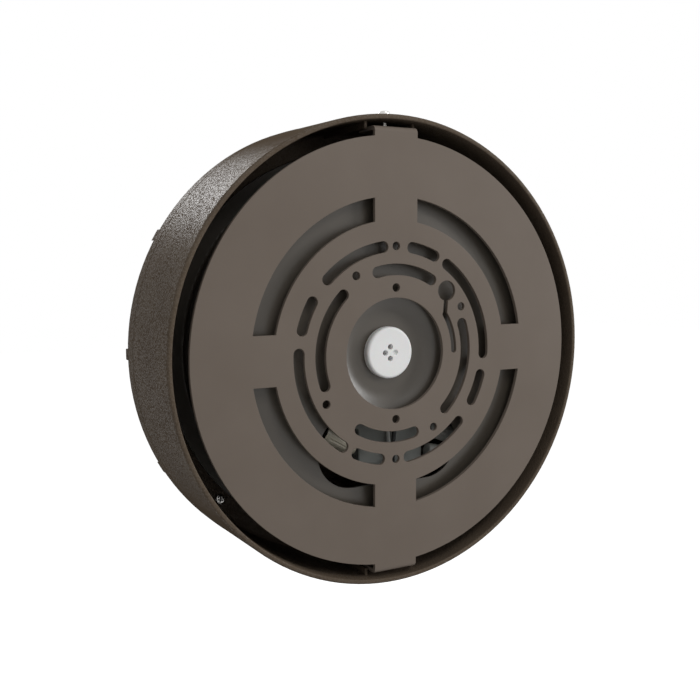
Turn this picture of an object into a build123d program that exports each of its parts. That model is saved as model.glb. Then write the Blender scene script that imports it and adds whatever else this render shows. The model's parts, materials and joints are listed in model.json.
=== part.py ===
"""Round bulkhead light for an outside wall, with the plate that holds it.

The wall is the plane Y = 0 and the light stands out from it towards -Y, with +Z up.
Most sketches lie on planes parallel to the wall. On those planes "right" and "up" are
as seen from the wall side, and "deep" is how far a plane lies in front of the wall.
"""

import os
from math import cos, pi, radians, sin, sqrt, tan

from build123d import *

# Mounting plate, a flat steel pressing
plate_radius = 89.0
plate_thickness = 1.8
window_inner_radius = 55.1
window_outer_radius = 64.6
arm_width = 20.2
wire_hole_radius = 23.3
outer_slot_radius = 44.45
inner_slot_radius = 34.925
slot_width = 4.7
outer_slot_angles = ((-2.6, 55.8), (65.0, 80.0), (98.0, 135.4), (149.8, 165.1))
inner_slot_angles = ((60.4, 104.8), (134.7, 199.0))
small_hole_radius = 1.75
near_hole_offset = 27.46
ring_hole_circle = 37.5
ring_hole_count = 4
ring_hole_angle = 30.0
keyhole_radius = 4.3
keyhole_circle = 35.8
keyhole_angle = 45.7
keyhole_neck_width = 2.0
keyhole_arc_radius = 28.9
keyhole_arc_width = 2.5
keyhole_arc_angles = (0.4, 32.9)

# Tabs bent forward from the top and the bottom of the plate
tab_rise = 3.6
tab_depth = 16.0
bend_inner_radius = 0.4
tab_corner_radius = 3.0
tab_root = 4.0

# Cast housing, a drum that is open to the wall
tab_gap = 2.9
rim_wall = 2.0
drum_draft = 0.75
drum_wall = 4.0
floor_deep = 42.0
floor_thickness = 2.2
rim_outer_round = 1.0
rim_inner_round = 0.6
corner_round = 1.5
seam_round = 0.2

# Ribs beside the tabs, on the inside of the drum
rib_clearance = 0.6
rib_thickness = 1.2
rib_overlap = 1.0
rib_deep = 5.6

# Front bezel
bezel_overhang = 0.1
bezel_depth = 8.2
bezel_wall = 3.8
bezel_flange = 1.8
bezel_face_width = 17.35
bezel_round = 0.8
boss_radius = 3.2
boss_gap = 1.0

# Guard bars across the front
bar_width = 4.6
bar_height = 3.9
bar_spacing = 49.4
bar_inset = 0.1
bar_round = 1.3
peg_radius = 1.5
peg_inset = 7.35

# Seals of the front
gasket_inset = 1.4
gasket_width = 1.8
gasket_height = 1.0
lens_gasket_setback = 0.4
lens_gasket_height = 0.8

# Lens and edge-lit light engine
lens_lip = 4.4
lens_edge = 2.3
lens_dome = 2.0
lens_dome_gap = 0.4
guide_gap = 2.2
guide_thickness = 3.0
reflector_thickness = 0.3
carrier_wall = 3.2
strip_thickness = 0.5
strip_height = 3.0
chip_count = 48
chip_length = 2.8
chip_depth = 0.98
chip_height = 1.4
tail_width = 5.0
tail_thickness = 0.3
tail_inner_end = 4.0
tail_clearance = 0.2

# Screws that hold the bezel from behind, and the small screws like them
screw_radius = 1.25
screw_clearance = 0.2
screw_head_radius = 2.3
screw_head_height = 1.8
screw_head_round = 0.8
recess_width = 0.8
recess_length = 2.6
recess_depth = 1.0
bezel_screw_count = 4
bezel_screw_angle = 45.0
bezel_screw_bite = 4.5

# Rear cover, a deep pressing with a soft dish for the grommet and an opening below it
cover_deep = 5.5
cover_sheet = 1.2
cover_flange_gap = 1.8
cover_screw_margin = 3.5
cover_screw_inset = 4.0
cover_bend = 4.0
dish_deep = 8.0
dish_radius = 18.9
dish_slope_angle = 24.0
dish_bend = 13.0
foot_bend = 1.0
opening_reach = 18.3
opening_drop = 40.2
opening_height = 31.0
opening_corner = 3.0
dish_land_radius = 31.0
cover_screw_count = 3
cover_screw_angle = -10.0
cover_screw_bite = 1.8

# Wire grommet in the dish
grommet_radius = 10.9
grommet_rise = 3.4
grommet_neck_radius = 8.5
grommet_play = 0.05
grommet_tail_radius = 10.4
grommet_tail = 2.4
grommet_round = 1.2
grommet_open_angles = (90, 180, 270)
grommet_closed_angle = 0
grommet_dimple = 1.1
grommet_hole_radius = 1.15
grommet_hole_circle = 2.45

# Driver on the housing floor
driver_width = 32.0
driver_length = 42.0
driver_right = 6.4
driver_space = 3.4
driver_round = 1.5
shoulder_width = 7.4
shoulder_length = 19.2
pad_thickness = 1.0
pad_margin = 1.0
ear_width = 10.0
ear_length = 6.0
ear_thickness = 2.5
ear_bite = 1.8
outlet_radius = 1.6
led_outlet_radius = 1.3
outlet_length = 2.0

# Mains leads, over the driver and round to twist-on splices beside it
lead_radius = 0.9
lead_bend_share = 0.45
neutral_rights = (3.4, 4.6)
line_rights = (8.0, 6.6)
mains_outlet_height = 15.0
mains_loop_reach = 12.5
mains_lead_gap = 0.5
mains_jog_start_rise = 4.05
mains_jog_end_drop = 5.95
neutral_turn = (24.0, 8.45, 30.0)
line_turn = (24.0, 5.95, 25.0)
neutral_mouth_offset = (35.6, -6.45)
line_mouth_offset = (34.8, -15.95)
neutral_splice_run = 12.5
line_splice_run = 9.0
mains_splice_deep = 17.0
mains_splice_angle = 163.0
mains_splice_radius = 4.3
mains_splice_length = 16.0

# Ground terminal, its lead and the twist-on splice
splice_tip_radius = 3.2
splice_tip_round = 1.2
ground_splice_radius = 4.5
ground_splice_length = 17.0
ground_splice_offset = -33.9
ground_splice_lift = 2.0
ground_splice_rise = 1.0
ground_splice_angle = -30.5
ground_run = 12.5
ground_circle = 54.15
ground_angle = 184.2
terminal_angle = -53.0
terminal_radius = 3.2
terminal_thickness = 0.8
barrel_radius = 1.6
barrel_length = 5.0
barrel_run = 12.0

# Leads to the light strip and the bush that they pass
led_lead_radius = 0.7
led_lead_spread = 1.4
led_outlet_height = 9.0
led_lead_run = 10.0
bush_inset = 8.1
bush_angle = -76.8
bush_radius = 3.4
bush_flange_radius = 4.6
bush_flange = 1.2

# Retaining screws in the drum wall, over the tabs
retainer_deep = 10.0
retainer_radius = 1.25
retainer_clearance = 0.05
retainer_head_radius = 2.3
retainer_head_height = 1.7
washer_overlap = 0.3
washer_thickness = 0.5
retainer_tip_gap = 0.05
retainer_seat_gap = 0.05

# Radii that follow from the plate outwards, and from the drum inwards
tab_face_height = plate_radius + tab_rise
rib_height = tab_face_height - rib_overlap
drum_rear_bore = tab_face_height + tab_gap
drum_rear_radius = drum_rear_bore + rim_wall
drum_front_radius = drum_rear_radius + drum_draft
drum_front_bore = drum_front_radius - drum_wall
bezel_radius = drum_front_radius + bezel_overhang
bezel_bore = bezel_radius - bezel_wall
bezel_opening = bezel_radius - bezel_face_width
peg_circle = bezel_radius - peg_inset
gasket_outer = bezel_radius - gasket_inset
gasket_inner = gasket_outer - gasket_width
lens_radius = bezel_opening + lens_lip
lens_dome_radius = bezel_opening - lens_dome_gap
lens_gasket_inner = bezel_opening + lens_gasket_setback
carrier_outer = lens_radius
carrier_inner = carrier_outer - carrier_wall
guide_radius = carrier_inner - guide_gap
screw_hole_radius = screw_radius + screw_clearance
bezel_screw_circle = lens_radius + boss_gap + boss_radius
cover_flange_radius = bezel_screw_circle - screw_head_radius - cover_flange_gap
cover_screw_circle = cover_flange_radius - cover_screw_margin
cover_radius = cover_screw_circle - cover_screw_inset
bush_circle = cover_radius - bush_inset
tail_start = bush_circle - tail_inner_end
dish_top_radius = dish_radius + (dish_deep - cover_deep) / tan(radians(dish_slope_angle))
retainer_hole_radius = retainer_radius + retainer_clearance
washer_radius = retainer_head_radius + washer_overlap

# Depths that follow
floor_front = floor_deep + floor_thickness
bezel_front = floor_front + bezel_depth
flange_back = bezel_front - bezel_flange
lens_back = floor_front + reflector_thickness + guide_thickness
lens_edge_front = lens_back + lens_edge
grommet_inner_end = dish_deep + cover_sheet + grommet_tail
driver_rear = grommet_inner_end + driver_space
driver_height = floor_deep - pad_thickness - driver_rear
lead_deep = driver_rear - mains_lead_gap - lead_radius
mains_outlet_deep = floor_deep - mains_outlet_height
led_outlet_deep = floor_deep - led_outlet_height
drum_taper = drum_draft / floor_front
retainer_seat = drum_rear_radius + drum_taper * retainer_deep + retainer_seat_gap


def level(deep):
    """The plane parallel to the wall that lies this deep; its normal points at the wall."""
    return Plane(origin=(0, -deep, 0), x_dir=(-1, 0, 0), z_dir=(0, 1, 0))


def spot(right, up, deep):
    """A point of the part's own frame."""
    return (-right, -deep, up)


def on_circle(radius, angle):
    """A point of a plane parallel to the wall, on a circle round the centre."""
    return (radius * cos(radians(angle)), radius * sin(radians(angle)))


def save(piece, name):
    """Labels a finished piece and writes it under its name."""
    piece.label = name
    export_step(piece, f"parts/{name}.step")


def sidewards(side, height):
    """The plane across a retaining screw's axis, facing out of the drum; side is 1 or -1."""
    return Plane(origin=(0, -retainer_deep, side * height), x_dir=(1, 0, 0), z_dir=(0, 0, side))


def corner(sketch, across, along):
    """The corner of a profile that is nearest to a point of its own plane."""
    return sketch.vertices().sort_by_distance((across, along))[0]


def pan_screw(name, places, seat, bite):
    """Writes pan head screws with a cross recess; they point away from the wall."""
    with BuildPart() as screws:
        with BuildSketch(level(seat)):
            with Locations(*places):
                Circle(screw_head_radius)
        extrude(amount=screw_head_height)
        fillet(screws.edges().filter_by(GeomType.CIRCLE).group_by(Axis.Y)[-1], screw_head_round)
        with BuildSketch(level(seat + bite)):
            with Locations(*places):
                Circle(screw_radius)
        extrude(amount=bite)
        with BuildSketch(level(seat - screw_head_height)):
            with Locations(*places):
                Rectangle(recess_length, recess_width)
                Rectangle(recess_width, recess_length)
        extrude(amount=-recess_depth, mode=Mode.SUBTRACT)
    save(screws.part, name)


def arc_slot(radius, angles, width, turn=0):
    """Cuts a curved slot round the centre of a wall plane's sketch, from one angle to another."""
    first, last = angles
    slot = CenterArc((0, 0), radius, first + turn, last - first)
    SlotArc(slot, width, rotation=180)


def splice_caps(name, mouths, angle, radius, length):
    """Writes twist-on splices that taper from their mouths; the angle is where their tips point."""
    way = Vector(*on_circle(1, angle))
    with BuildPart() as caps:
        for mouth in mouths:
            side = Plane(origin=spot(*mouth), x_dir=(-way.X, 0, way.Y), z_dir=(0, 1, 0))
            with BuildSketch(side) as profile:
                with BuildLine():
                    Polyline((0, 0), (0, radius), (length, splice_tip_radius), (length, 0), close=True)
                make_face()
                fillet(corner(profile, length, splice_tip_radius), splice_tip_round)
            revolve(axis=Axis(side.origin, side.x_dir))
    save(caps.part, name)


def round_lead(name, radius, points):
    """Writes a round lead that follows straight runs, with an arc as large as they allow at each turn."""
    way = [Vector(*spot(*p)) for p in points]
    runs = [end - start for start, end in zip(way, way[1:])]
    bends = [
        lead_bend_share * min(before.length, after.length) / tan(radians(before.get_angle(after)) / 2)
        for before, after in zip(runs, runs[1:])
    ]
    with BuildPart() as lead:
        with BuildLine() as route:
            FilletPolyline(*way, radius=bends)
        start = Plane(origin=route.line @ 0, z_dir=route.line % 0)
        with BuildSketch(start):
            Circle(radius)
        sweep(path=route.line)
    save(lead.part, name)
    length = sum(edge.length for edge in route.line.edges())
    ratio = lead.part.volume / (pi * radius**2 * length)
    print(f"{name}: length {length:.1f} mm, volume over section times length {ratio:.4f}")
    print(f"{name}: bend radii {', '.join(f'{bend:.1f}' for bend in bends)} mm")


os.makedirs("parts", exist_ok=True)

keyhole_spot = on_circle(keyhole_circle, keyhole_angle)
ground_post = on_circle(ground_circle, ground_angle)
bush_spot = on_circle(bush_circle, bush_angle)
bezel_screw_places = [
    on_circle(bezel_screw_circle, bezel_screw_angle + n * 360 / bezel_screw_count)
    for n in range(bezel_screw_count)
]
cover_screw_places = [
    on_circle(cover_screw_circle, cover_screw_angle + n * 360 / cover_screw_count)
    for n in range(cover_screw_count)
]
driver_foot = bush_spot[1] + led_lead_run + outlet_length
driver_top = driver_foot + driver_length
driver_up = (driver_foot + driver_top) / 2
driver_centre = (driver_right, driver_up)
ear_places = [
    (driver_right, driver_up + side * (driver_length + ear_length) / 2) for side in (1, -1)
]

# Mounting plate with its slots and bent tabs
tab_back = tab_face_height - plate_thickness
with BuildPart() as mounting_plate:
    with BuildSketch(level(plate_thickness)):
        Circle(plate_radius)
    extrude(amount=plate_thickness)
    with BuildSketch(Plane.YZ) as tab_side:
        with BuildLine():
            Polyline(
                (0, plate_radius - tab_root),
                (0, tab_face_height),
                (-tab_depth, tab_face_height),
                (-tab_depth, tab_back),
                (-plate_thickness, tab_back),
                (-plate_thickness, plate_radius - tab_root),
                close=True,
            )
        make_face()
        fillet(corner(tab_side, 0, tab_face_height), bend_inner_radius + plate_thickness)
        fillet(corner(tab_side, -plate_thickness, tab_back), bend_inner_radius)
        mirror(about=Plane.XZ)
    extrude(amount=arm_width / 2, both=True)
    tab_corners = mounting_plate.edges().filter_by(Axis.Z).group_by(Axis.Y)[0]
    fillet(tab_corners, tab_corner_radius)
    with BuildSketch(level(plate_thickness)):
        Circle(window_outer_radius)
        Circle(window_inner_radius, mode=Mode.SUBTRACT)
        Rectangle(arm_width, 2 * plate_radius, mode=Mode.SUBTRACT)
        Rectangle(2 * plate_radius, arm_width, mode=Mode.SUBTRACT)
        Circle(wire_hole_radius)
        for half_turn in (0, 180):
            for angles in outer_slot_angles:
                arc_slot(outer_slot_radius, angles, slot_width, half_turn)
            for angles in inner_slot_angles:
                arc_slot(inner_slot_radius, angles, slot_width, half_turn)
        with Locations((0, outer_slot_radius), (0, -outer_slot_radius)):
            Circle(small_hole_radius)
        with Locations((0, near_hole_offset), (0, -near_hole_offset)):
            Circle(small_hole_radius)
        with PolarLocations(ring_hole_circle, ring_hole_count, start_angle=ring_hole_angle):
            Circle(small_hole_radius)
        with Locations(keyhole_spot):
            Circle(keyhole_radius)
        neck_end = on_circle(keyhole_arc_radius, keyhole_arc_angles[1])
        neck_middle = ((keyhole_spot[0] + neck_end[0]) / 2, (keyhole_spot[1] + neck_end[1]) / 2)
        SlotCenterPoint(center=neck_middle, point=neck_end, height=keyhole_neck_width)
        arc_slot(keyhole_arc_radius, keyhole_arc_angles, keyhole_arc_width)
    extrude(amount=plate_thickness, mode=Mode.SUBTRACT)
save(mounting_plate.part, "mounting_plate")

# Housing: drum, floor, guide ribs and a hole for every screw
rib_right = arm_width / 2 + rib_clearance + rib_thickness / 2
rib_top = drum_front_bore + rib_thickness
rib_foot = floor_deep + floor_thickness / 2
rib_places = [
    (right, side * (rib_height + rib_top) / 2) for right in (rib_right, -rib_right) for side in (1, -1)
]
with BuildPart() as housing:
    with BuildSketch(Plane.XY) as drum_side:
        with BuildLine():
            Polyline(
                (0, -floor_front),
                (drum_front_radius, -floor_front),
                (drum_rear_radius, 0),
                (drum_rear_bore, 0),
                (drum_front_bore, -floor_deep),
                (0, -floor_deep),
                close=True,
            )
        make_face()
        fillet(corner(drum_side, drum_rear_radius, 0), rim_outer_round)
        fillet(corner(drum_side, drum_rear_bore, 0), rim_inner_round)
        fillet(corner(drum_side, drum_front_bore, -floor_deep), corner_round)
        fillet(corner(drum_side, drum_front_radius, -floor_front), seam_round)
    revolve(axis=Axis.Y)
    with BuildSketch(level(rib_foot)):
        with Locations(*rib_places):
            Rectangle(rib_thickness, rib_top - rib_height)
    extrude(amount=rib_foot - rib_deep)
    with BuildSketch(level(floor_front)):
        with Locations(*bezel_screw_places):
            Circle(screw_hole_radius)
        with Locations(*cover_screw_places, *ear_places, ground_post):
            Circle(screw_radius)
        with Locations(bush_spot):
            Circle(bush_radius)
    extrude(amount=floor_thickness, mode=Mode.SUBTRACT)
    groove_length = carrier_outer - tail_start
    with BuildSketch(level(floor_front)):
        with PolarLocations((tail_start + carrier_outer) / 2, 1, start_angle=bush_angle):
            Rectangle(groove_length, tail_width + 2 * tail_clearance)
    extrude(amount=tail_thickness, mode=Mode.SUBTRACT)
    for side in (1, -1):
        with BuildSketch(sidewards(side, rib_height)):
            Circle(retainer_hole_radius)
        extrude(amount=drum_front_radius - rib_height, mode=Mode.SUBTRACT)
save(housing.part, "housing")

# Front bezel with its screw bosses, gasket groove and the holes for the guard bars
outer_bar_reach = sqrt(peg_circle**2 - bar_spacing**2)
peg_places = [(right, 0) for right in (peg_circle, -peg_circle)] + [
    (right, up) for right in (outer_bar_reach, -outer_bar_reach) for up in (bar_spacing, -bar_spacing)
]
with BuildPart() as front_bezel:
    with BuildSketch(Plane.XY) as bezel_side:
        with BuildLine():
            Polyline(
                (bezel_bore, -floor_front),
                (bezel_radius, -floor_front),
                (bezel_radius, -bezel_front),
                (bezel_opening, -bezel_front),
                (bezel_opening, -flange_back),
                (bezel_bore, -flange_back),
                close=True,
            )
        make_face()
        fillet(corner(bezel_side, bezel_radius, -floor_front), seam_round)
        fillet(corner(bezel_side, bezel_radius, -bezel_front), bezel_round)
        fillet(corner(bezel_side, bezel_opening, -bezel_front), bezel_round)
    revolve(axis=Axis.Y)
    with BuildSketch(level(flange_back + bezel_flange / 2)):
        with Locations(*bezel_screw_places):
            Circle(boss_radius)
    extrude(amount=flange_back + bezel_flange / 2 - floor_front)
    with BuildSketch(level(floor_front + bezel_screw_bite)):
        with Locations(*bezel_screw_places):
            Circle(screw_radius)
    extrude(amount=bezel_screw_bite, mode=Mode.SUBTRACT)
    with BuildSketch(level(floor_front + gasket_height)):
        Circle(gasket_outer)
        Circle(gasket_inner, mode=Mode.SUBTRACT)
    extrude(amount=gasket_height, mode=Mode.SUBTRACT)
    with BuildSketch(level(bezel_front)):
        with Locations(*peg_places):
            Circle(peg_radius)
    extrude(amount=bezel_flange, mode=Mode.SUBTRACT)
save(front_bezel.part, "front_bezel")

# Three guard bars across the lens, each with a peg at both ends
with BuildPart() as guard_bars:
    with BuildSketch(level(bezel_front + bar_height)):
        with Locations((0, 0), (0, bar_spacing), (0, -bar_spacing)):
            Rectangle(2 * bezel_radius, bar_width)
        Circle(bezel_radius - bar_inset, mode=Mode.INTERSECT)
    extrude(amount=bar_height)
    fillet(guard_bars.edges().group_by(Axis.Y)[0], bar_round)
    with BuildSketch(level(bezel_front)):
        with Locations(*peg_places):
            Circle(peg_radius)
    extrude(amount=bezel_flange)
save(guard_bars.part, "guard_bars")

# Gasket between the housing and the bezel
with BuildPart() as bezel_gasket:
    with BuildSketch(level(floor_front + gasket_height)):
        Circle(gasket_outer)
        Circle(gasket_inner, mode=Mode.SUBTRACT)
    extrude(amount=gasket_height)
save(bezel_gasket.part, "bezel_gasket")

# Opal lens, flat behind and slightly domed in front
with BuildPart() as diffuser_lens:
    with BuildSketch(Plane.XY):
        with BuildLine():
            Polyline(
                (0, -lens_edge_front - lens_dome),
                (0, -lens_back),
                (lens_radius, -lens_back),
                (lens_radius, -lens_edge_front),
                (lens_dome_radius, -lens_edge_front),
            )
            dome_top = (0, -lens_edge_front - lens_dome)
            TangentArc(dome_top, (lens_dome_radius, -lens_edge_front), tangent=(1, 0))
        make_face()
    revolve(axis=Axis.Y)
save(diffuser_lens.part, "diffuser_lens")

# Lens gasket, pressed between the lens and the bezel's flange
with BuildPart() as lens_gasket:
    with BuildSketch(level(flange_back)):
        Circle(lens_radius)
        Circle(lens_gasket_inner, mode=Mode.SUBTRACT)
    extrude(amount=lens_gasket_height)
save(lens_gasket.part, "lens_gasket")

# White reflector sheet and clear light guide
with BuildPart() as reflector_sheet:
    with BuildSketch(level(floor_front + reflector_thickness)):
        Circle(guide_radius)
    extrude(amount=reflector_thickness)
save(reflector_sheet.part, "reflector_sheet")

with BuildPart() as light_guide:
    with BuildSketch(level(lens_back)):
        Circle(guide_radius)
    extrude(amount=guide_thickness)
save(light_guide.part, "light_guide")

# Aluminium carrier ring that cools the strip and spaces the lens
with BuildPart() as led_carrier:
    with BuildSketch(level(lens_back)):
        Circle(carrier_outer)
        Circle(carrier_inner, mode=Mode.SUBTRACT)
    extrude(amount=lens_back - floor_front)
save(led_carrier.part, "led_carrier")

# Flexible strip round the inside of the carrier, with a tail to the wire hole
strip_inner = carrier_inner - strip_thickness
with BuildPart() as led_strip:
    with BuildSketch(level(floor_front + strip_height)):
        Circle(carrier_inner)
        Circle(strip_inner, mode=Mode.SUBTRACT)
    extrude(amount=strip_height)
    with BuildSketch(level(floor_front)):
        with PolarLocations((tail_start + carrier_inner) / 2, 1, start_angle=bush_angle):
            Rectangle(carrier_inner - tail_start, tail_width)
    extrude(amount=tail_thickness)
save(led_strip.part, "led_strip")

# Light-emitting chips on the strip, facing the edge of the light guide
chip_circle = sqrt(strip_inner**2 - (chip_length / 2) ** 2) - chip_depth / 2
chip_deep = floor_front + reflector_thickness + guide_thickness / 2 + chip_height / 2
with BuildPart() as led_chips:
    with BuildSketch(level(chip_deep)):
        with PolarLocations(chip_circle, chip_count):
            Rectangle(chip_depth, chip_length)
    extrude(amount=chip_height)
save(led_chips.part, "led_chips")

# Rear cover over the driver, with a dish for the grommet and an opening below the dish
sheet_shift = cover_sheet * tan(radians(dish_slope_angle) / 2)
cover_inside = cover_radius - cover_sheet
cover_under = cover_deep + cover_sheet
with BuildPart() as rear_cover:
    with BuildSketch(Plane.XY) as cover_side:
        with BuildLine():
            Polyline(
                (0, -dish_deep),
                (dish_radius, -dish_deep),
                (dish_top_radius, -cover_deep),
                (cover_radius, -cover_deep),
                (cover_radius, -floor_deep + cover_sheet),
                (cover_flange_radius, -floor_deep + cover_sheet),
                (cover_flange_radius, -floor_deep),
                (cover_inside, -floor_deep),
                (cover_inside, -cover_under),
                (dish_top_radius + sheet_shift, -cover_under),
                (dish_radius + sheet_shift, -dish_deep - cover_sheet),
                (0, -dish_deep - cover_sheet),
                close=True,
            )
        make_face()
        fillet(corner(cover_side, dish_radius, -dish_deep), dish_bend)
        dish_corner = corner(cover_side, dish_radius + sheet_shift, -dish_deep - cover_sheet)
        fillet(dish_corner, dish_bend + cover_sheet)
        fillet(corner(cover_side, dish_top_radius, -cover_deep), dish_bend + cover_sheet)
        fillet(corner(cover_side, dish_top_radius + sheet_shift, -cover_under), dish_bend)
        fillet(corner(cover_side, cover_radius, -cover_deep), cover_bend)
        fillet(corner(cover_side, cover_inside, -cover_under), cover_bend - cover_sheet)
        fillet(corner(cover_side, cover_radius, -floor_deep + cover_sheet), foot_bend)
        fillet(corner(cover_side, cover_inside, -floor_deep), foot_bend + cover_sheet)
    revolve(axis=Axis.Y)
    with BuildSketch(level(cover_under)) as opening:
        with Locations((0, -opening_drop)):
            SlotCenterToCenter(2 * opening_reach, opening_height)
        Circle(dish_land_radius, mode=Mode.SUBTRACT)
        fillet(opening.vertices().group_by(Axis.Y)[-1], opening_corner)
    extrude(amount=cover_sheet, mode=Mode.SUBTRACT)
    with BuildSketch(level(dish_deep + cover_sheet)):
        Circle(grommet_neck_radius + grommet_play)
    extrude(amount=cover_sheet, mode=Mode.SUBTRACT)
    with BuildSketch(level(floor_deep)):
        with Locations(*cover_screw_places):
            Circle(screw_hole_radius)
    extrude(amount=cover_sheet, mode=Mode.SUBTRACT)
save(rear_cover.part, "rear_cover")

# White wire grommet, snapped into the dish
with BuildPart() as wire_grommet:
    with BuildSketch(Plane.XY) as grommet_side:
        with BuildLine():
            Polyline(
                (0, -dish_deep + grommet_rise),
                (grommet_radius, -dish_deep + grommet_rise),
                (grommet_radius, -dish_deep),
                (grommet_neck_radius, -dish_deep),
                (grommet_neck_radius, -dish_deep - cover_sheet),
                (grommet_tail_radius, -dish_deep - cover_sheet),
                (grommet_neck_radius, -dish_deep - cover_sheet - grommet_tail),
                (0, -dish_deep - cover_sheet - grommet_tail),
                close=True,
            )
        make_face()
        fillet(corner(grommet_side, grommet_radius, -dish_deep + grommet_rise), grommet_round)
    revolve(axis=Axis.Y)
    grommet_length = grommet_rise + cover_sheet + grommet_tail
    with BuildSketch(level(dish_deep + cover_sheet + grommet_tail)):
        with Locations(*[on_circle(grommet_hole_circle, angle) for angle in grommet_open_angles]):
            Circle(grommet_hole_radius)
    extrude(amount=grommet_length, mode=Mode.SUBTRACT)
    with BuildSketch(level(dish_deep - grommet_rise + grommet_dimple)):
        with Locations(on_circle(grommet_hole_circle, grommet_closed_angle)):
            Circle(grommet_hole_radius)
    extrude(amount=grommet_dimple, mode=Mode.SUBTRACT)
save(wire_grommet.part, "wire_grommet")

# Driver with its ears and lead outlets, on a thermal pad
shoulder_centre = (
    driver_right - (driver_width + shoulder_width) / 2,
    driver_top - shoulder_length / 2,
)
led_lead_rights = [bush_spot[0] + side * led_lead_spread for side in (-1, 1)]
with BuildPart() as led_driver:
    with BuildSketch(level(floor_deep - pad_thickness)):
        with Locations(driver_centre):
            Rectangle(driver_width, driver_length)
        with Locations(shoulder_centre):
            Rectangle(shoulder_width, shoulder_length)
    extrude(amount=driver_height)
    fillet(led_driver.edges().filter_by(Axis.Y), driver_round)
    fillet(led_driver.edges().group_by(Axis.Y)[-1], driver_round / 2)
    with BuildSketch(level(floor_deep)):
        with Locations(*ear_places):
            Rectangle(ear_width, ear_length)
    extrude(amount=ear_thickness)
    with BuildSketch(level(floor_deep)):
        with Locations(*ear_places):
            Circle(screw_hole_radius)
    extrude(amount=ear_thickness, mode=Mode.SUBTRACT)
    with BuildSketch(Plane(origin=spot(0, driver_top, 0), x_dir=(1, 0, 0), z_dir=(0, 0, 1))):
        with Locations(*[(-rights[0], -mains_outlet_deep) for rights in (neutral_rights, line_rights)]):
            Circle(outlet_radius)
    extrude(amount=outlet_length)
    with BuildSketch(Plane(origin=spot(0, driver_foot, 0), x_dir=(-1, 0, 0), z_dir=(0, 0, -1))):
        with Locations(*[(right, -led_outlet_deep) for right in led_lead_rights]):
            Circle(led_outlet_radius)
    extrude(amount=outlet_length)
save(led_driver.part, "led_driver")

with BuildPart() as driver_pad:
    with BuildSketch(level(floor_deep)):
        with Locations(driver_centre):
            Rectangle(driver_width - 2 * pad_margin, driver_length - 2 * pad_margin)
    extrude(amount=pad_thickness)
save(driver_pad.part, "driver_pad")

# Rubber bush in the floor hole
with BuildPart() as floor_bush:
    with BuildSketch(level(floor_front - tail_thickness)):
        with Locations(bush_spot):
            Circle(bush_radius)
    extrude(amount=floor_thickness - tail_thickness)
    with BuildSketch(level(floor_deep)):
        with Locations(bush_spot):
            Circle(bush_flange_radius)
    extrude(amount=bush_flange)
    with BuildSketch(level(floor_front - tail_thickness)):
        with Locations(*[(right, bush_spot[1]) for right in led_lead_rights]):
            Circle(led_lead_radius)
    extrude(amount=floor_thickness - tail_thickness + bush_flange, mode=Mode.SUBTRACT)
save(floor_bush.part, "floor_bush")

# Screws that hold the bezel, the rear cover, the driver and the ground wire
pan_screw("bezel_screws", bezel_screw_places, floor_deep, floor_thickness + bezel_screw_bite)
pan_screw("cover_screws", cover_screw_places, floor_deep - cover_sheet, cover_sheet + cover_screw_bite)
pan_screw("driver_screws", ear_places, floor_deep - ear_thickness, ear_thickness + ear_bite)
ground_seat = floor_deep - terminal_thickness
pan_screw("ground_screw", [ground_post], ground_seat, terminal_thickness + cover_screw_bite)

# Mains leads, over the driver, under the cover's lower edge and up to their splices
mains_start = driver_top + outlet_length
loop_top = mains_start + mains_loop_reach
mains_mouths = []
for name, rights, turn, mouth_offset, run in (
    ("neutral_lead", neutral_rights, neutral_turn, neutral_mouth_offset, neutral_splice_run),
    ("line_lead", line_rights, line_turn, line_mouth_offset, line_splice_run),
):
    turn_right, turn_drop, turn_deep = turn
    turn_up = driver_foot - turn_drop
    splice_mouth = Vector(*driver_centre) + Vector(*mouth_offset)
    mains_mouths.append((splice_mouth.X, splice_mouth.Y, mains_splice_deep))
    approach = splice_mouth - Vector(*on_circle(run, mains_splice_angle))
    round_lead(
        name,
        lead_radius,
        [
            (rights[0], mains_start, mains_outlet_deep),
            (rights[0], loop_top, mains_outlet_deep),
            (rights[0], loop_top, lead_deep),
            (rights[0], driver_up + mains_jog_start_rise, lead_deep),
            (rights[1], driver_up - mains_jog_end_drop, lead_deep),
            (rights[1], turn_up, lead_deep),
            (turn_right, turn_up, turn_deep),
            (approach.X, approach.Y, turn_deep),
            (approach.X, approach.Y, mains_splice_deep),
            mains_mouths[-1],
        ],
    )
splice_caps("mains_splices", mains_mouths, mains_splice_angle, mains_splice_radius, mains_splice_length)

# Leads from the driver through the bush to the strip's tail
led_start = driver_foot - outlet_length
for name, right in zip(("led_lead_positive", "led_lead_negative"), led_lead_rights):
    round_lead(
        name,
        led_lead_radius,
        [
            (right, led_start, led_outlet_deep),
            (right, bush_spot[1], led_outlet_deep),
            (right, bush_spot[1], floor_front - tail_thickness),
        ],
    )

# Ground terminal under its screw, ground lead and the twist-on splice at its end
toward = Vector(cos(radians(terminal_angle)), sin(radians(terminal_angle)))
barrel_start = Vector(*ground_post) + toward * terminal_radius * 0.8
barrel_end = Vector(*ground_post) + toward * (terminal_radius + barrel_length)
barrel_deep = floor_deep - barrel_radius
with BuildPart() as ground_terminal:
    with BuildSketch(level(floor_deep)):
        with Locations(ground_post):
            Circle(terminal_radius)
    extrude(amount=terminal_thickness)
    barrel_plane = Plane(
        origin=spot(barrel_start.X, barrel_start.Y, barrel_deep),
        z_dir=(-toward.X, 0, toward.Y),
    )
    with BuildSketch(barrel_plane):
        Circle(barrel_radius)
    extrude(amount=(barrel_end - barrel_start).length)
    with BuildSketch(level(floor_deep)):
        with Locations(ground_post):
            Circle(screw_hole_radius)
    extrude(amount=terminal_thickness, mode=Mode.SUBTRACT)
save(ground_terminal.part, "ground_terminal")

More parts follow.
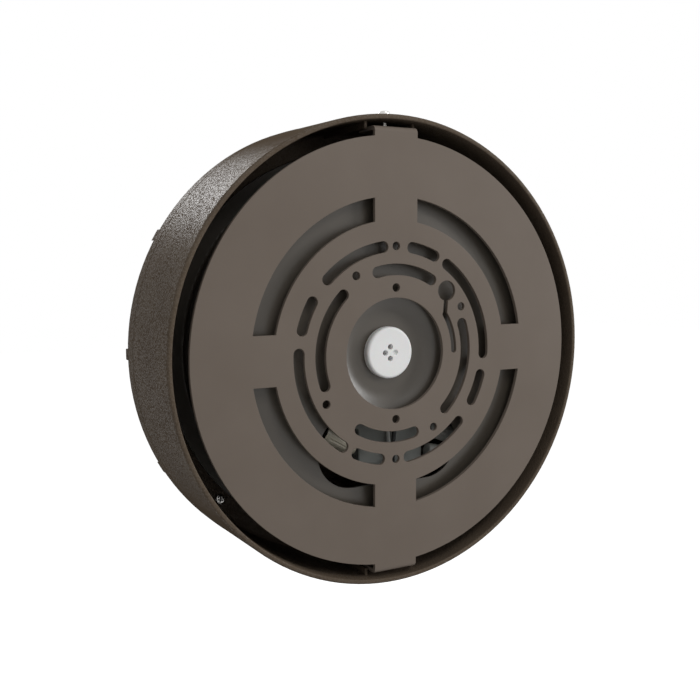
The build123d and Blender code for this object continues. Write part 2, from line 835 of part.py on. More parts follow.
mouth_right = driver_right + ground_splice_offset
mouth_up = driver_up + ground_splice_lift
mouth_deep = driver_rear - ground_splice_rise
splice_way = Vector(*on_circle(1, ground_splice_angle))
ground_bend = barrel_end + toward * barrel_run
ground_turn = Vector(mouth_right, mouth_up) - splice_way * ground_run
round_lead(
    "ground_lead",
    lead_radius,
    [
        (barrel_end.X, barrel_end.Y, barrel_deep),
        (ground_bend.X, ground_bend.Y, barrel_deep),
        (ground_turn.X, ground_turn.Y, mouth_deep),
        (mouth_right, mouth_up, mouth_deep),
    ],
)

ground_mouth = (mouth_right, mouth_up, mouth_deep)
splice_caps(
    "ground_splice", [ground_mouth], ground_splice_angle, ground_splice_radius, ground_splice_length
)

# Retaining screws over the tabs, each with its washer
for side, place in ((1, "top"), (-1, "bottom")):
    with BuildPart() as washer:
        with BuildSketch(sidewards(side, retainer_seat)):
            Circle(washer_radius)
            Circle(retainer_hole_radius, mode=Mode.SUBTRACT)
        extrude(amount=washer_thickness)
    save(washer.part, f"{place}_washer")

    head_seat = retainer_seat + washer_thickness
    tip = tab_face_height + retainer_tip_gap
    with BuildPart() as retainer:
        with BuildSketch(sidewards(side, head_seat)):
            Circle(retainer_head_radius)
        extrude(amount=retainer_head_height)
        top_edge = retainer.edges().filter_by(GeomType.CIRCLE).sort_by(Axis.Z)[-1 if side > 0 else 0]
        fillet(top_edge, screw_head_round)
        with BuildSketch(sidewards(side, tip)):
            Circle(retainer_radius)
        extrude(amount=head_seat - tip)
        with BuildSketch(sidewards(side, head_seat + retainer_head_height)):
            Rectangle(recess_length, recess_width)
            Rectangle(recess_width, recess_length)
        extrude(amount=-recess_depth, mode=Mode.SUBTRACT)
    save(retainer.part, f"{place}_retaining_screw")
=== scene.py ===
"""Round bulkhead light for an outside wall: finishes, fine pieces, light and camera.

The frame is the model's own: the wall is the plane Y = 0, the light stands out towards -Y and
+Z points up. Lamps, camera and floor have their places in metres. Sizes of the fine pieces are in
millimetres, and mm turns them into metres.
"""

import bmesh
import bpy
import json
from math import cos, hypot, pi, radians, sin
from mathutils import Matrix, Vector

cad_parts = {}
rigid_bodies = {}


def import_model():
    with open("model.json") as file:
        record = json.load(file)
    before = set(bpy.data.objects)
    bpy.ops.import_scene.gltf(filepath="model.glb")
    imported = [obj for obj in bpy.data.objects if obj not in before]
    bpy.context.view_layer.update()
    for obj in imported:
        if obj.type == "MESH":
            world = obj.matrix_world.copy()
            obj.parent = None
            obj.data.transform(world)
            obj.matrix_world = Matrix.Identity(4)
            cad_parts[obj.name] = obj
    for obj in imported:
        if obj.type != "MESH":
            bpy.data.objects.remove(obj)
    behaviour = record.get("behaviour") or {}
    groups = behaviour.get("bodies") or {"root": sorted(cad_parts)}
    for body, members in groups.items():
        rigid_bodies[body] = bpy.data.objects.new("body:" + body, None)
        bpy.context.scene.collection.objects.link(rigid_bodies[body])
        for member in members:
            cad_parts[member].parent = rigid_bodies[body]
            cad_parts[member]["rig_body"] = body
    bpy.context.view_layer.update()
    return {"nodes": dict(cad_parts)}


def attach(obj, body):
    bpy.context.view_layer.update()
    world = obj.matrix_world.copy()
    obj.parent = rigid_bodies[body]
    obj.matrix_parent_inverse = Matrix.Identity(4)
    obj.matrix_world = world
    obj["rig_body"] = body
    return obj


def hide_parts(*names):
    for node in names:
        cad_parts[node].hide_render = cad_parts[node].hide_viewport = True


mm = 0.001

# Points of the model that are nearer to each other than this, in mm, are one point
merge_distance = 0.001

# Places that are nearer to each other than this, in mm, are level with each other
level = 0.01

# Edges that turn by more than this, in degrees, are sharp
sharp_angle = 35

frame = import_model()
nodes = frame["nodes"]
bpy.ops.object.select_all(action="DESELECT")


def painted(red, green, blue):
    """A colour as it looks on a screen, from 0 to 255, in the linear values that shaders take."""
    channels = []
    for value in (red, green, blue):
        share = value / 255.0
        low = share / 12.92
        high = ((share + 0.055) / 1.055) ** 2.4
        channels.append(low if share <= 0.04045 else high)
    return (*channels, 1.0)


# Shared surface effects

def effect_group(name, inputs, outputs):
    """An empty node group with the named float inputs and outputs, and its two end nodes."""
    group = bpy.data.node_groups.new(name, "ShaderNodeTree")
    for label, value in inputs.items():
        socket = group.interface.new_socket(label, in_out="INPUT", socket_type="NodeSocketFloat")
        socket.default_value = value
    for label in outputs:
        group.interface.new_socket(label, in_out="OUTPUT", socket_type="NodeSocketFloat")
    start = group.nodes.new("NodeGroupInput")
    end = group.nodes.new("NodeGroupOutput")
    return group, start, end


def noise(tree, scale, detail, roughness, where):
    """A noise texture on object coordinates."""
    texture = tree.nodes.new("ShaderNodeTexNoise")
    texture.inputs["Detail"].default_value = detail
    texture.inputs["Roughness"].default_value = roughness
    tree.links.new(where, texture.inputs["Vector"])
    if isinstance(scale, float):
        texture.inputs["Scale"].default_value = scale
    else:
        tree.links.new(scale, texture.inputs["Scale"])
    return texture.outputs["Fac"]


def arithmetic(tree, operation, first, second):
    """A math node; each operand is a socket or a number."""
    node = tree.nodes.new("ShaderNodeMath")
    node.operation = operation
    for socket, value in zip(node.inputs, (first, second)):
        if isinstance(value, (int, float)):
            socket.default_value = value
        else:
            tree.links.new(value, socket)
    return node.outputs[0]


def remapped(tree, value, before, after):
    """Turns the range of values before into the range after; what lies outside it is held."""
    node = tree.nodes.new("ShaderNodeMapRange")
    node.inputs["From Min"].default_value = before[0]
    node.inputs["From Max"].default_value = before[1]
    node.inputs["To Min"].default_value = after[0]
    node.inputs["To Max"].default_value = after[1]
    tree.links.new(value, node.inputs["Value"])
    return node.outputs["Result"]


def make_powder_grain():
    """The pebbled skin of a textured powder coat: rounded grains with a finer grit on top."""
    group, start, end = effect_group(
        "powder_grain", {"Grains per metre": 1500.0, "Grit": 0.35}, ("Height", "Drift")
    )
    where = group.nodes.new("ShaderNodeTexCoord").outputs["Object"]
    grains = group.nodes.new("ShaderNodeTexVoronoi")
    grains.feature = "SMOOTH_F1"
    grains.inputs["Smoothness"].default_value = 0.6
    group.links.new(where, grains.inputs["Vector"])
    group.links.new(start.outputs["Grains per metre"], grains.inputs["Scale"])
    grits_per_grain = 1.7
    grains_per_metre = start.outputs["Grains per metre"]
    fine_scale = arithmetic(group, "MULTIPLY", grains_per_metre, grits_per_grain)
    grit = noise(group, fine_scale, detail=3.0, roughness=0.6, where=where)
    domes = arithmetic(group, "SUBTRACT", 1.0, grains.outputs["Distance"])
    weighted = arithmetic(group, "MULTIPLY", grit, start.outputs["Grit"])
    height = arithmetic(group, "ADD", domes, weighted)
    group.links.new(height, end.inputs["Height"])
    group.links.new(noise(group, 38.0, detail=3.0, roughness=0.55, where=where), end.inputs["Drift"])
    return group


def make_satin_skin():
    """A nearly even painted skin: a faint fine ripple, and a slow drift of tone."""
    group, start, end = effect_group("satin_skin", {"Ripples per metre": 900.0}, ("Height", "Drift"))
    where = group.nodes.new("ShaderNodeTexCoord").outputs["Object"]
    ripple = noise(group, start.outputs["Ripples per metre"], detail=4.0, roughness=0.55, where=where)
    group.links.new(ripple, end.inputs["Height"])
    group.links.new(noise(group, 30.0, detail=3.0, roughness=0.5, where=where), end.inputs["Drift"])
    return group


def make_fine_scratches():
    """Fine drawn or turned lines across a metal, long along one axis."""
    group, start, end = effect_group(
        "fine_scratches", {"Lines per metre": 2500.0, "Stretch": 0.04}, ("Height", "Drift")
    )
    where = group.nodes.new("ShaderNodeTexCoord").outputs["Object"]
    parts = group.nodes.new("ShaderNodeSeparateXYZ")
    group.links.new(where, parts.inputs[0])
    squeezed = group.nodes.new("ShaderNodeCombineXYZ")
    along = arithmetic(group, "MULTIPLY", parts.outputs["X"], start.outputs["Stretch"])
    group.links.new(along, squeezed.inputs["X"])
    group.links.new(parts.outputs["Y"], squeezed.inputs["Y"])
    group.links.new(parts.outputs["Z"], squeezed.inputs["Z"])
    lines_per_metre = start.outputs["Lines per metre"]
    lines = noise(group, lines_per_metre, detail=3.0, roughness=0.6, where=squeezed.outputs[0])
    group.links.new(lines, end.inputs["Height"])
    group.links.new(noise(group, 220.0, detail=2.0, roughness=0.5, where=where), end.inputs["Drift"])
    return group


effects = {
    "grain": make_powder_grain(),
    "satin": make_satin_skin(),
    "scratches": make_fine_scratches(),
}

# The stretch of an effect's mask over which a finish goes from one end of its drift to the other
mask_range = (0.3, 0.7)


def finish(name, effect, dark, light, rough, settings=None, values=None, bump=0.0, height=0.0):
    """A Principled material whose colour and roughness drift with one effect's masks.

    dark and light are the colours at the ends of the drift, rough the roughness at both ends,
    bump the strength of the relief and height its depth in millimetres.
    """
    material = bpy.data.materials.new(name)
    material.use_nodes = True
    tree = material.node_tree
    shader = tree.nodes["Principled BSDF"]
    group = tree.nodes.new("ShaderNodeGroup")
    group.node_tree = effects[effect]
    for label, value in (values or {}).items():
        group.inputs[label].default_value = value
    ramp = tree.nodes.new("ShaderNodeValToRGB")
    for stop, position, colour in zip(ramp.color_ramp.elements, mask_range, (dark, light)):
        stop.position = position
        stop.color = colour
    tree.links.new(group.outputs["Drift"], ramp.inputs["Fac"])
    tree.links.new(ramp.outputs["Color"], shader.inputs["Base Color"])
    roughness = remapped(tree, group.outputs["Height"], mask_range, rough)
    tree.links.new(roughness, shader.inputs["Roughness"])
    if bump:
        relief = tree.nodes.new("ShaderNodeBump")
        relief.inputs["Strength"].default_value = bump
        relief.inputs["Distance"].default_value = height * mm
        tree.links.new(group.outputs["Height"], relief.inputs["Height"])
        tree.links.new(relief.outputs["Normal"], shader.inputs["Normal"])
    for label, value in (settings or {}).items():
        shader.inputs[label].default_value = value
    return material


# The gloss of a powder coat: where it fades as the look turns from facing, at 0, to grazing, at 1;
# which heights of the grain are its valleys and its tops; and how much of the gloss these have
gloss_fade = (0.74, 0.92)
grain_heights = (0.55, 1.05)
valley_gloss = 0.1
top_gloss = 2.0


def add_grain_gloss(material, gloss):
    """Gives a powder coat its gloss: most on the tops of the grains, and none at a grazing look."""
    tree = material.node_tree
    group = next(node for node in tree.nodes if node.type == "GROUP")
    look = tree.nodes.new("ShaderNodeLayerWeight")
    look.inputs["Blend"].default_value = 0.5
    fade = remapped(tree, look.outputs["Facing"], gloss_fade, (1.0, 0.0))
    shares = (valley_gloss * gloss, top_gloss * gloss)
    tops = remapped(tree, group.outputs["Height"], grain_heights, shares)
    weight = arithmetic(tree, "MULTIPLY", fade, tops)
    tree.links.new(weight, tree.nodes["Principled BSDF"].inputs["Coat Weight"])


finishes = {
    "powder_coat": finish(
        "textured_bronze_powder_coat", "grain", painted(85, 74, 63), painted(93, 82, 70), (0.36, 0.56),
        {"Specular IOR Level": 0.0, "Coat Roughness": 0.38},
        {"Grains per metre": 1500.0, "Grit": 0.35}, bump=0.9, height=0.16,
    ),
    "plate_paint": finish(
        "satin_bronze_paint", "satin", painted(107, 97, 88), painted(112, 102, 93), (0.5, 0.58),
        {"Specular IOR Level": 0.15}, {"Ripples per metre": 1400.0}, bump=0.25, height=0.03,
    ),
    "cover_paint": finish(
        "glossy_dark_bronze_paint", "satin", painted(71, 65, 57), painted(76, 70, 62), (0.32, 0.38),
        {"Specular IOR Level": 0.5}, {"Ripples per metre": 500.0}, bump=0.12, height=0.03,
    ),
    "silicone": finish(
        "white_silicone", "satin", painted(232, 232, 231), painted(238, 238, 237), (0.42, 0.5),
        {"Specular IOR Level": 0.35, "Subsurface Weight": 0.05, "Subsurface Scale": 0.001},
        {"Ripples per metre": 700.0}, bump=0.1, height=0.02,
    ),
    "black_rubber": finish(
        "black_seal_rubber", "grain", painted(28, 28, 28), painted(36, 36, 35), (0.6, 0.8),
        {"Specular IOR Level": 0.3}, {"Grains per metre": 3000.0}, bump=0.4, height=0.03,
    ),
    "screw_steel": finish(
        "bright_screw_steel", "scratches", painted(196, 194, 190), painted(212, 210, 206), (0.22, 0.34),
        {"Metallic": 1.0}, {"Lines per metre": 5000.0}, bump=0.15, height=0.02,
    ),
    "opal_lens": finish(
        "opal_polycarbonate", "satin", painted(238, 238, 234), painted(243, 243, 240), (0.34, 0.42),
        {"Specular IOR Level": 0.45, "Subsurface Weight": 0.25, "Subsurface Scale": 0.004},
        {"Ripples per metre": 2200.0}, bump=0.12, height=0.02,
    ),
    "clear_guide": finish(
        "clear_acrylic", "satin", painted(240, 246, 246), painted(244, 249, 249), (0.05, 0.08),
        {"Transmission Weight": 1.0, "IOR": 1.49},
    ),
    "white_film": finish(
        "white_reflector_film", "satin", painted(240, 240, 240), painted(246, 246, 246), (0.5, 0.6),
        {"Specular IOR Level": 0.3}, None, bump=0.05, height=0.01,
    ),
    "bare_aluminium": finish(
        "bare_aluminium", "scratches", painted(198, 199, 202), painted(208, 209, 211), (0.3, 0.42),
        {"Metallic": 1.0}, {"Lines per metre": 2500.0}, bump=0.15, height=0.02,
    ),
    "strip_mask": finish(
        "white_solder_mask", "satin", painted(226, 226, 222), painted(234, 234, 230), (0.35, 0.45),
        {"Specular IOR Level": 0.4},
    ),
    "phosphor": finish(
        "yellow_phosphor", "satin", painted(226, 200, 88), painted(236, 212, 104), (0.4, 0.5),
        {"Specular IOR Level": 0.4}, {"Ripples per metre": 4000.0},
    ),
    "driver_case": finish(
        "grey_driver_case", "grain", painted(140, 142, 138), painted(148, 150, 146), (0.45, 0.6),
        {"Specular IOR Level": 0.35}, {"Grains per metre": 2200.0}, bump=0.35, height=0.04,
    ),
    "thermal_pad": finish(
        "grey_thermal_pad", "grain", painted(120, 126, 134), painted(132, 138, 146), (0.7, 0.85),
        {"Specular IOR Level": 0.2}, {"Grains per metre": 1800.0}, bump=0.3, height=0.03,
    ),
    "black_insulation": finish(
        "black_lead_insulation", "satin", painted(30, 30, 30), painted(38, 38, 37), (0.35, 0.45),
        {"Specular IOR Level": 0.4}, {"Ripples per metre": 1200.0}, bump=0.1, height=0.02,
    ),
    "white_insulation": finish(
        "white_lead_insulation", "satin", painted(186, 186, 181), painted(198, 198, 193), (0.35, 0.45),
        {"Specular IOR Level": 0.4}, {"Ripples per metre": 1200.0}, bump=0.1, height=0.02,
    ),
    "red_insulation": finish(
        "red_lead_insulation", "satin", painted(150, 28, 24), painted(164, 34, 28), (0.35, 0.45),
        {"Specular IOR Level": 0.4}, {"Ripples per metre": 1200.0}, bump=0.1, height=0.02,
    ),
    "grey_splice": finish(
        "clear_grey_splice_cap", "satin", painted(178, 178, 172), painted(190, 190, 184), (0.3, 0.4),
        {"Specular IOR Level": 0.45}, {"Ripples per metre": 900.0}, bump=0.1, height=0.02,
    ),
    "beige_splice": finish(
        "beige_splice_cap", "satin", painted(172, 165, 147), painted(184, 177, 159), (0.35, 0.45),
        {"Specular IOR Level": 0.4}, {"Ripples per metre": 900.0}, bump=0.1, height=0.02,
    ),
    "bare_copper": finish(
        "bare_copper", "scratches", painted(196, 122, 84), painted(212, 138, 98), (0.28, 0.42),
        {"Metallic": 1.0}, {"Lines per metre": 4000.0}, bump=0.2, height=0.03,
    ),
    "tinned_metal": finish(
        "tinned_terminal", "scratches", painted(190, 190, 186), painted(204, 204, 200), (0.3, 0.45),
        {"Metallic": 1.0}, {"Lines per metre": 3000.0}, bump=0.15, height=0.02,
    ),
}

add_grain_gloss(finishes["powder_coat"], gloss=0.22)

# The finish of every piece of the model that stays as it is, or is only refined
node_finishes = {
    "mounting_plate": "plate_paint",
    "housing": "powder_coat",
    "front_bezel": "powder_coat",
    "guard_bars": "powder_coat",
    "bezel_gasket": "black_rubber",
    "lens_gasket": "black_rubber",
    "bezel_screws": "screw_steel",
    "diffuser_lens": "opal_lens",
    "light_guide": "clear_guide",
    "reflector_sheet": "white_film",
    "led_carrier": "bare_aluminium",
    "led_strip": "strip_mask",
    "led_chips": "phosphor",
    "rear_cover": "cover_paint",
    "cover_screws": "screw_steel",
    "wire_grommet": "silicone",
    "led_driver": "driver_case",
    "driver_pad": "thermal_pad",
    "driver_screws": "screw_steel",
    "floor_bush": "black_rubber",
    "line_lead": "black_insulation",
    "neutral_lead": "white_insulation",
    "mains_splices": "grey_splice",
    "ground_lead": "bare_copper",
    "ground_splice": "beige_splice",
    "ground_terminal": "tinned_metal",
    "ground_screw": "screw_steel",
    "led_lead_positive": "red_insulation",
    "led_lead_negative": "black_insulation",
    "top_washer": "screw_steel",
    "top_retaining_screw": "screw_steel",
    "bottom_washer": "screw_steel",
    "bottom_retaining_screw": "screw_steel",
}
for node, finish_name in node_finishes.items():
    nodes[node].material_slots[0].material = finishes[finish_name]


# Tools for the fine pieces

def alone(piece):
    """Selects only this piece and makes it the active one."""
    bpy.ops.object.select_all(action="DESELECT")
    piece.select_set(True)
    bpy.context.view_layer.objects.active = piece


def pick(piece, kind, test):
    """In edit mode, selects only the faces or points that pass the test of their place and normal."""
    bpy.ops.mesh.select_mode(type="FACE" if kind == "faces" else "VERT")
    bpy.ops.mesh.select_all(action="DESELECT")
    shape = bmesh.from_edit_mesh(piece.data)
    for part in getattr(shape, kind):
        place = part.calc_center_median() if kind == "faces" else part.co
        if test(place / mm, part.normal):
            part.select_set(True)
    shape.select_flush(True)
    bmesh.update_edit_mesh(piece.data)


def turned(name, outline, sides):
    """A solid of revolution round Z: a disc that is extruded and scaled from ring to ring.

    The outline is a list of (radius, height) in millimetres.
    """
    radius, height = outline[0]
    bpy.ops.object.select_all(action="DESELECT")
    bpy.ops.mesh.primitive_circle_add(
        vertices=sides, radius=radius * mm, fill_type="NGON", location=(0, 0, height * mm)
    )
    piece = bpy.context.object
    piece.name = name
    bpy.ops.object.mode_set(mode="EDIT")
    bpy.ops.mesh.select_mode(type="FACE")
    bpy.ops.mesh.select_all(action="SELECT")
    for next_radius, next_height in outline[1:]:
        rise = (next_height - height) * mm
        bpy.ops.mesh.extrude_region_move(TRANSFORM_OT_translate={"value": (0, 0, rise)})
        share = next_radius / radius
        bpy.ops.transform.resize(value=(share, share, 1.0), center_override=(0, 0, 0))
        radius, height = next_radius, next_height
    bpy.ops.mesh.select_all(action="SELECT")
    bpy.ops.mesh.normals_make_consistent(inside=False)
    bpy.ops.object.mode_set(mode="OBJECT")
    bpy.ops.object.transform_apply(location=True, rotation=True, scale=True)
    return piece


def rounded(piece, width, steps):
    """Breaks the sharp edges of a piece with a small round, as deburring and paint leave them."""
    alone(piece)
    bevel = piece.modifiers.new("broken_edges", "BEVEL")
    bevel.width = width * mm
    bevel.segments = steps
    bevel.limit_method = "ANGLE"
    bevel.angle_limit = radians(sharp_angle)
    bevel.use_clamp_overlap = False
    bpy.ops.object.modifier_apply(modifier=bevel.name)


def detailed_copy(node, name, width, steps):
    """A copy of a node of the model, its points merged, its flats made whole and its edges broken."""
    flat_angle = 0.5
    piece = bpy.data.objects.new(name, nodes[node].data.copy())
    bpy.context.scene.collection.objects.link(piece)
    alone(piece)
    bpy.ops.mesh.customdata_custom_splitnormals_clear()
    bpy.ops.object.mode_set(mode="EDIT")
    bpy.ops.mesh.select_all(action="SELECT")
    bpy.ops.mesh.remove_doubles(threshold=merge_distance * mm)
    bpy.ops.mesh.dissolve_limited(angle_limit=radians(flat_angle))
    bpy.ops.object.mode_set(mode="OBJECT")
    rounded(piece, width, steps)
    return piece


def copies(model, name, places, way):
    """One piece of a copy of the model at each place in mm, its +Z turned to point along way.

    Each copy is turned further round its own axis than the one before, as screws and caps end up.
    """
    turn_step = 37
    lean = Vector((0, 0, 1)).rotation_difference(way).to_matrix().to_4x4()
    made = []
    for number, place in enumerate(places):
        one = model.copy()
        one.data = model.data.copy()
        one.name = name
        bpy.context.scene.collection.objects.link(one)
        turn = Matrix.Rotation(radians(turn_step * number), 4, "Z")
        one.matrix_world = Matrix.Translation(place * mm) @ lean @ turn
        made.append(one)
    alone(made[0])
    for one in made:
        one.select_set(True)
    if len(made) > 1:
        bpy.ops.object.join()
    bpy.ops.object.transform_apply(location=True, rotation=True, scale=True)
    return made[0]


def fitted(piece, node):
    """Finishes a piece as its node is and sets it on the node's body in the node's stead."""
    alone(piece)
    bpy.ops.object.shade_smooth_by_angle(angle=radians(sharp_angle))
    flats = piece.modifiers.new("flat_faces_stay_flat", "WEIGHTED_NORMAL")
    flats.keep_sharp = True
    bpy.ops.object.modifier_apply(modifier=flats.name)
    piece.data.materials.clear()
    piece.data.materials.append(finishes[node_finishes[node]])
    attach(piece, nodes[node]["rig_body"])
    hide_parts(node)


# Pieces with finer edges than the model's own: the width in mm and the steps of their rounds

for node, name, width, steps, slot in (
    ("mounting_plate", "wall_plate_with_broken_edges", 0.2, 2, "plate_bronze"),
    ("rear_cover", "dished_cover_with_broken_edges", 0.2, 2, "cover_bronze"),
    ("wire_grommet", "grommet_with_soft_mouths", 0.22, 3, "grommet_white"),
    ("top_washer", "upper_washer_with_broken_edges", 0.1, 2, "screw_steel"),
    ("bottom_washer", "lower_washer_with_broken_edges", 0.1, 2, "screw_steel"),
    ("ground_terminal", "ring_terminal_with_broken_edges", 0.1, 2, "terminal_tin"),
    ("led_driver", "driver_with_rounded_case", 0.4, 2, "driver_grey"),
):
    piece = detailed_copy(node, name, width, steps)
    fitted(piece, node)


# Where the model has its screws and splices

def separate_solids(node):
    """The points, in mm, of each separate solid of a node of the model."""
    shape = bmesh.new()
    shape.from_mesh(nodes[node].data)
    bmesh.ops.remove_doubles(shape, verts=shape.verts, dist=merge_distance * mm)
    solids = []
    seen = set()
    for first in shape.verts:
        if first in seen:
            continue
        seen.add(first)
        solid = [first]
        for point in solid:
            for edge in point.link_edges:
                other = edge.other_vert(point)
                if other not in seen:
                    seen.add(other)
                    solid.append(other)
        solids.append([point.co / mm for point in solid])
    shape.free()
    return solids


def middle(points):
    """The middle of the box round some points."""
    low = Vector(map(min, *points))
    high = Vector(map(max, *points))
    return (low + high) / 2


def across_then_up(place):
    """Orders places across the light, and from low to high where one is over another."""
    return round(place.x), place.z


def from_low_to_high(place):
    """Orders places from low to high."""
    return place.z


# Screws: pan heads with a cross recess, and rolled threads

head_height = 1.8
head_radius = 2.3


def pan_screw(bite):
    """A screw with the top of its head at the origin; it points down and bites that deep."""
    pitch = 0.6
    root = 1.0
    crest = 1.25
    tip_radius = 0.7
    tip_taper = 0.3
    under_head = -head_height
    tip = under_head - bite
    outline = [(tip_radius, tip), (root, tip + tip_taper)]
    height = tip + tip_taper
    while height + pitch < under_head:
        outline.append((crest, height + 0.4 * pitch))
        outline.append((crest, height + 0.55 * pitch))
        outline.append((root, height + pitch))
        height += pitch
    edge = 0.15
    crown_start = -0.8
    head_seat = [(root, under_head), (head_radius - edge, under_head)]
    head_side = [(head_radius, under_head + edge), (head_radius, crown_start)]
    head_crown = [(2.24, -0.5), (2.05, -0.25), (1.7, -0.08), (1.3, -0.02), (0.9, 0.0)]
    outline += head_seat + head_side + head_crown
    screw = turned("pan_screw", outline, sides=28)

    # The cutter of the recess is a cross whose arms end deeper than its middle
    arm_width = 0.8
    arm_length = 0.9
    cube_middle = -0.35
    end_stretch = 1.9
    depth_stretch = 1.9
    floor_share = 0.55
    bpy.ops.mesh.primitive_cube_add(size=arm_width * mm, location=(0, 0, cube_middle * mm))
    cross = bpy.context.object
    bpy.ops.object.mode_set(mode="EDIT")
    pick(cross, "faces", lambda place, normal: abs(normal.z) < 0.5)
    bpy.ops.mesh.extrude_faces_move(TRANSFORM_OT_shrink_fatten={"value": arm_length * mm})
    bpy.ops.transform.resize(value=(1, 1, end_stretch), center_override=(0, 0, 0))
    bpy.ops.mesh.select_all(action="SELECT")
    bpy.ops.transform.resize(value=(1, 1, depth_stretch))
    pick(cross, "faces", lambda place, normal: normal.z < -0.5)
    bpy.ops.transform.resize(value=(floor_share, floor_share, 1), center_override=(0, 0, 0))
    bpy.ops.object.mode_set(mode="OBJECT")
    recess = screw.modifiers.new("cross_recess", "BOOLEAN")
    recess.operation = "DIFFERENCE"
    recess.solver = "EXACT"
    recess.object = cross
    alone(screw)
    bpy.ops.object.modifier_apply(modifier=recess.name)
    bpy.data.objects.remove(cross)
    return screw


to_wall = Vector((0, 1, 0))
upwards = Vector((0, 0, 1))
downwards = Vector((0, 0, -1))
for node, head_way, order in (
    ("bezel_screws", to_wall, across_then_up),
    ("cover_screws", to_wall, from_low_to_high),
    ("driver_screws", to_wall, from_low_to_high),
    ("ground_screw", to_wall, from_low_to_high),
    ("top_retaining_screw", upwards, from_low_to_high),
    ("bottom_retaining_screw", downwards, from_low_to_high),
):
    solids = separate_solids(node)
    reaches = [point.dot(head_way) for point in solids[0]]
    length = max(reaches) - min(reaches)
    head_tops = [middle(points) + head_way * length / 2 for points in solids]
    model = pan_screw(bite=length - head_height)
    piece = copies(model, f"threaded_{node}", sorted(head_tops, key=order), head_way)
    bpy.data.objects.remove(model)
    fitted(piece, node)


# Twist-on caps of the splices

def twist_cap(radius, tip_radius, length):
    """A cap that tapers along +Z from its mouth at the origin, with grip flutes and a hollow mouth."""
    flute_count = 12
    flute_start = 2.4
    flute_end = length - 2.7
    flute_sides = (0.3, 0.7)
    flute_share = 0.9
    skin = 0.05
    mouth_wall = 1.0
    mouth_depth = 5.0
    # Rings at the mouth, at its lip, and two at each end of the flutes
    ring_heights = (0.0, 0.3, 2.2, 2.6, length - 3.0, length - 2.6)
    taper = (radius - tip_radius) / length
    side = [(radius - height * taper, height) for height in ring_heights]
    rounded_tip = [
        (tip_radius + 0.05, length - 1.2),
        (tip_radius - 0.35, length - 0.4),
        (tip_radius - 1.2, length),
    ]
    cap = turned("twist_cap", side + rounded_tip, sides=48)
    bpy.ops.object.mode_set(mode="EDIT")
    pick(cap, "faces", lambda place, normal: place.z < level)
    bpy.ops.mesh.inset(thickness=mouth_wall * mm)
    bpy.ops.mesh.extrude_region_move(TRANSFORM_OT_translate={"value": (0, 0, mouth_depth * mm)})

    def in_flute(place, normal):
        pitch = 2 * pi / flute_count
        step = (place.to_2d().angle_signed(Vector((1, 0)), 0.0) % pitch) / pitch
        outer = hypot(place.x, place.y) > radius - place.z * taper - skin
        along = flute_start < place.z < flute_end
        return outer and along and flute_sides[0] < step < flute_sides[1]

    pick(cap, "verts", in_flute)
    bpy.ops.transform.resize(value=(flute_share, flute_share, 1), center_override=(0, 0, 0))
    bpy.ops.object.mode_set(mode="OBJECT")
    return cap


# The angle is where a cap's tip points, counted up from the right as seen from behind
for node, angle, radius, tip_radius, length, slot in (
    ("mains_splices", 163.0, 4.25, 3.2, 16.0, "splice_grey"),
    ("ground_splice", -30.5, 4.45, 3.2, 17.0, "splice_beige"),
):
    tip_way = Vector((-cos(radians(angle)), 0, sin(radians(angle))))
    mouths = []
    for points in separate_solids(node):
        rim_end = min(point.dot(tip_way) for point in points) + level
        mouths.append(middle([point for point in points if point.dot(tip_way) < rim_end]))
    model = twist_cap(radius, tip_radius, length)
    piece = copies(model, f"fluted_{node}", sorted(mouths, key=across_then_up), tip_way)
    bpy.data.objects.remove(model)
    fitted(piece, node)


# Camera, lights and surroundings

def photo_camera():
    """The camera of the photograph: behind the light, to its left and a little above it."""
    place = Vector((0.19484, 0.32180, 0.04078))
    to_right = Vector((-0.88055, 0.47395, -0.00302))
    to_top = Vector((-0.05173, -0.08978, 0.99462))
    backwards = to_right.cross(to_top)
    bpy.ops.object.camera_add()
    camera = bpy.context.object
    camera.name = "photo_camera"
    camera.data.sensor_width = 36.0
    camera.data.angle = radians(42.05)
    camera.data.clip_start = 0.01
    turn = Matrix((to_right, to_top, backwards)).transposed().to_4x4()
    camera.matrix_world = Matrix.Translation(place) @ turn
    bpy.context.scene.camera = camera


def softbox(name, place, target, size, power):
    """A square area light that points at the target."""
    bpy.ops.object.light_add(type="AREA", location=place)
    lamp = bpy.context.object
    lamp.name = name
    lamp.data.shape = "SQUARE"
    lamp.data.size = size
    lamp.data.energy = power
    away = Vector(place) - Vector(target)
    lamp.rotation_euler = away.to_track_quat("Z", "Y").to_euler()


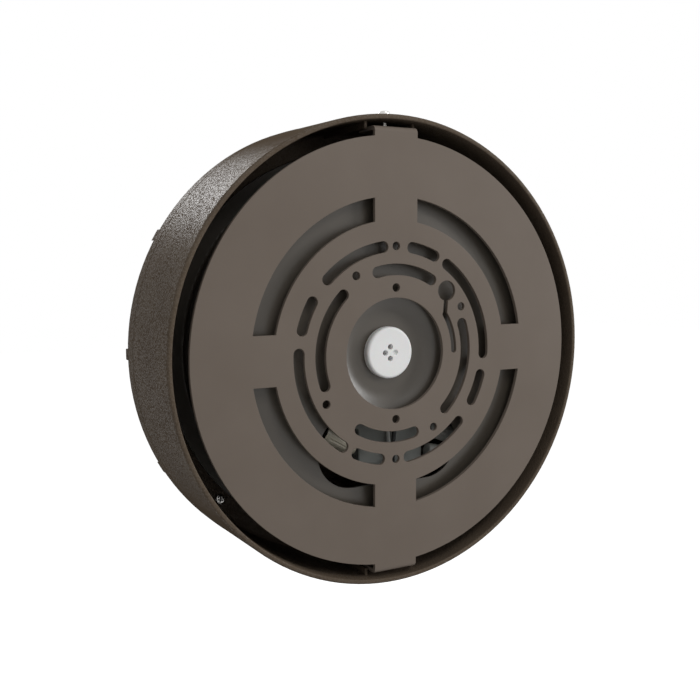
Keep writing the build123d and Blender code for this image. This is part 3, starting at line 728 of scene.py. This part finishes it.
def in_view(tree):
    """1 for what the camera sees, also in a reflection or through a clear piece, and 0 for light."""
    path = tree.nodes.new("ShaderNodeLightPath")
    seen = path.outputs["Is Camera Ray"]
    for kind in ("Is Glossy Ray", "Is Transmission Ray"):
        seen = arithmetic(tree, "MAXIMUM", seen, path.outputs[kind])
    return seen


def white_surroundings(ambient):
    """White to the camera and in reflections; everything else gets the ambient level."""
    world = bpy.data.worlds.new("white_surroundings")
    bpy.context.scene.world = world
    world.use_nodes = True
    tree = world.node_tree
    tree.nodes.clear()
    strength = remapped(tree, in_view(tree), (0.0, 1.0), (ambient, 1.0))
    background = tree.nodes.new("ShaderNodeBackground")
    background.inputs["Color"].default_value = (1.0, 1.0, 1.0, 1.0)
    tree.links.new(strength, background.inputs["Strength"])
    output = tree.nodes.new("ShaderNodeOutputWorld")
    tree.links.new(background.outputs["Background"], output.inputs["Surface"])


def pale_floor(depth, width, grey, glow):
    """A floor below the light, grey under the lamps, and with a glow of its own in view."""
    bpy.ops.mesh.primitive_plane_add(size=width, location=(0, 0, -depth))
    floor = bpy.context.object
    floor.name = "pale_floor"
    material = bpy.data.materials.new("pale_floor")
    material.use_nodes = True
    tree = material.node_tree
    tree.nodes.clear()
    white = tree.nodes.new("ShaderNodeBsdfDiffuse")
    white.inputs["Color"].default_value = (grey, grey, grey, 1.0)
    shine = tree.nodes.new("ShaderNodeEmission")
    tree.links.new(arithmetic(tree, "MULTIPLY", in_view(tree), glow), shine.inputs["Strength"])
    both = tree.nodes.new("ShaderNodeAddShader")
    tree.links.new(white.outputs[0], both.inputs[0])
    tree.links.new(shine.outputs[0], both.inputs[1])
    output = tree.nodes.new("ShaderNodeOutputMaterial")
    tree.links.new(both.outputs[0], output.inputs["Surface"])
    floor.data.materials.append(material)


photo_camera()
pale_floor(depth=0.6, width=12.0, grey=0.5, glow=0.8)
white_surroundings(ambient=0.5)
middle_of_light = (0, 0, 0)
over_dish = (0, 0, 0.03)
softbox("right_key", (-1.45, 0.85, 0.3), middle_of_light, size=0.55, power=11.5)
softbox("near_top_fill", (-0.08, 0.42, 0.44), over_dish, size=0.2, power=0.85)
softbox("far_rim_light", (0.03, -1.24, 0.58), middle_of_light, size=0.42, power=10.0)

bpy.context.scene.view_settings.view_transform = "Standard"
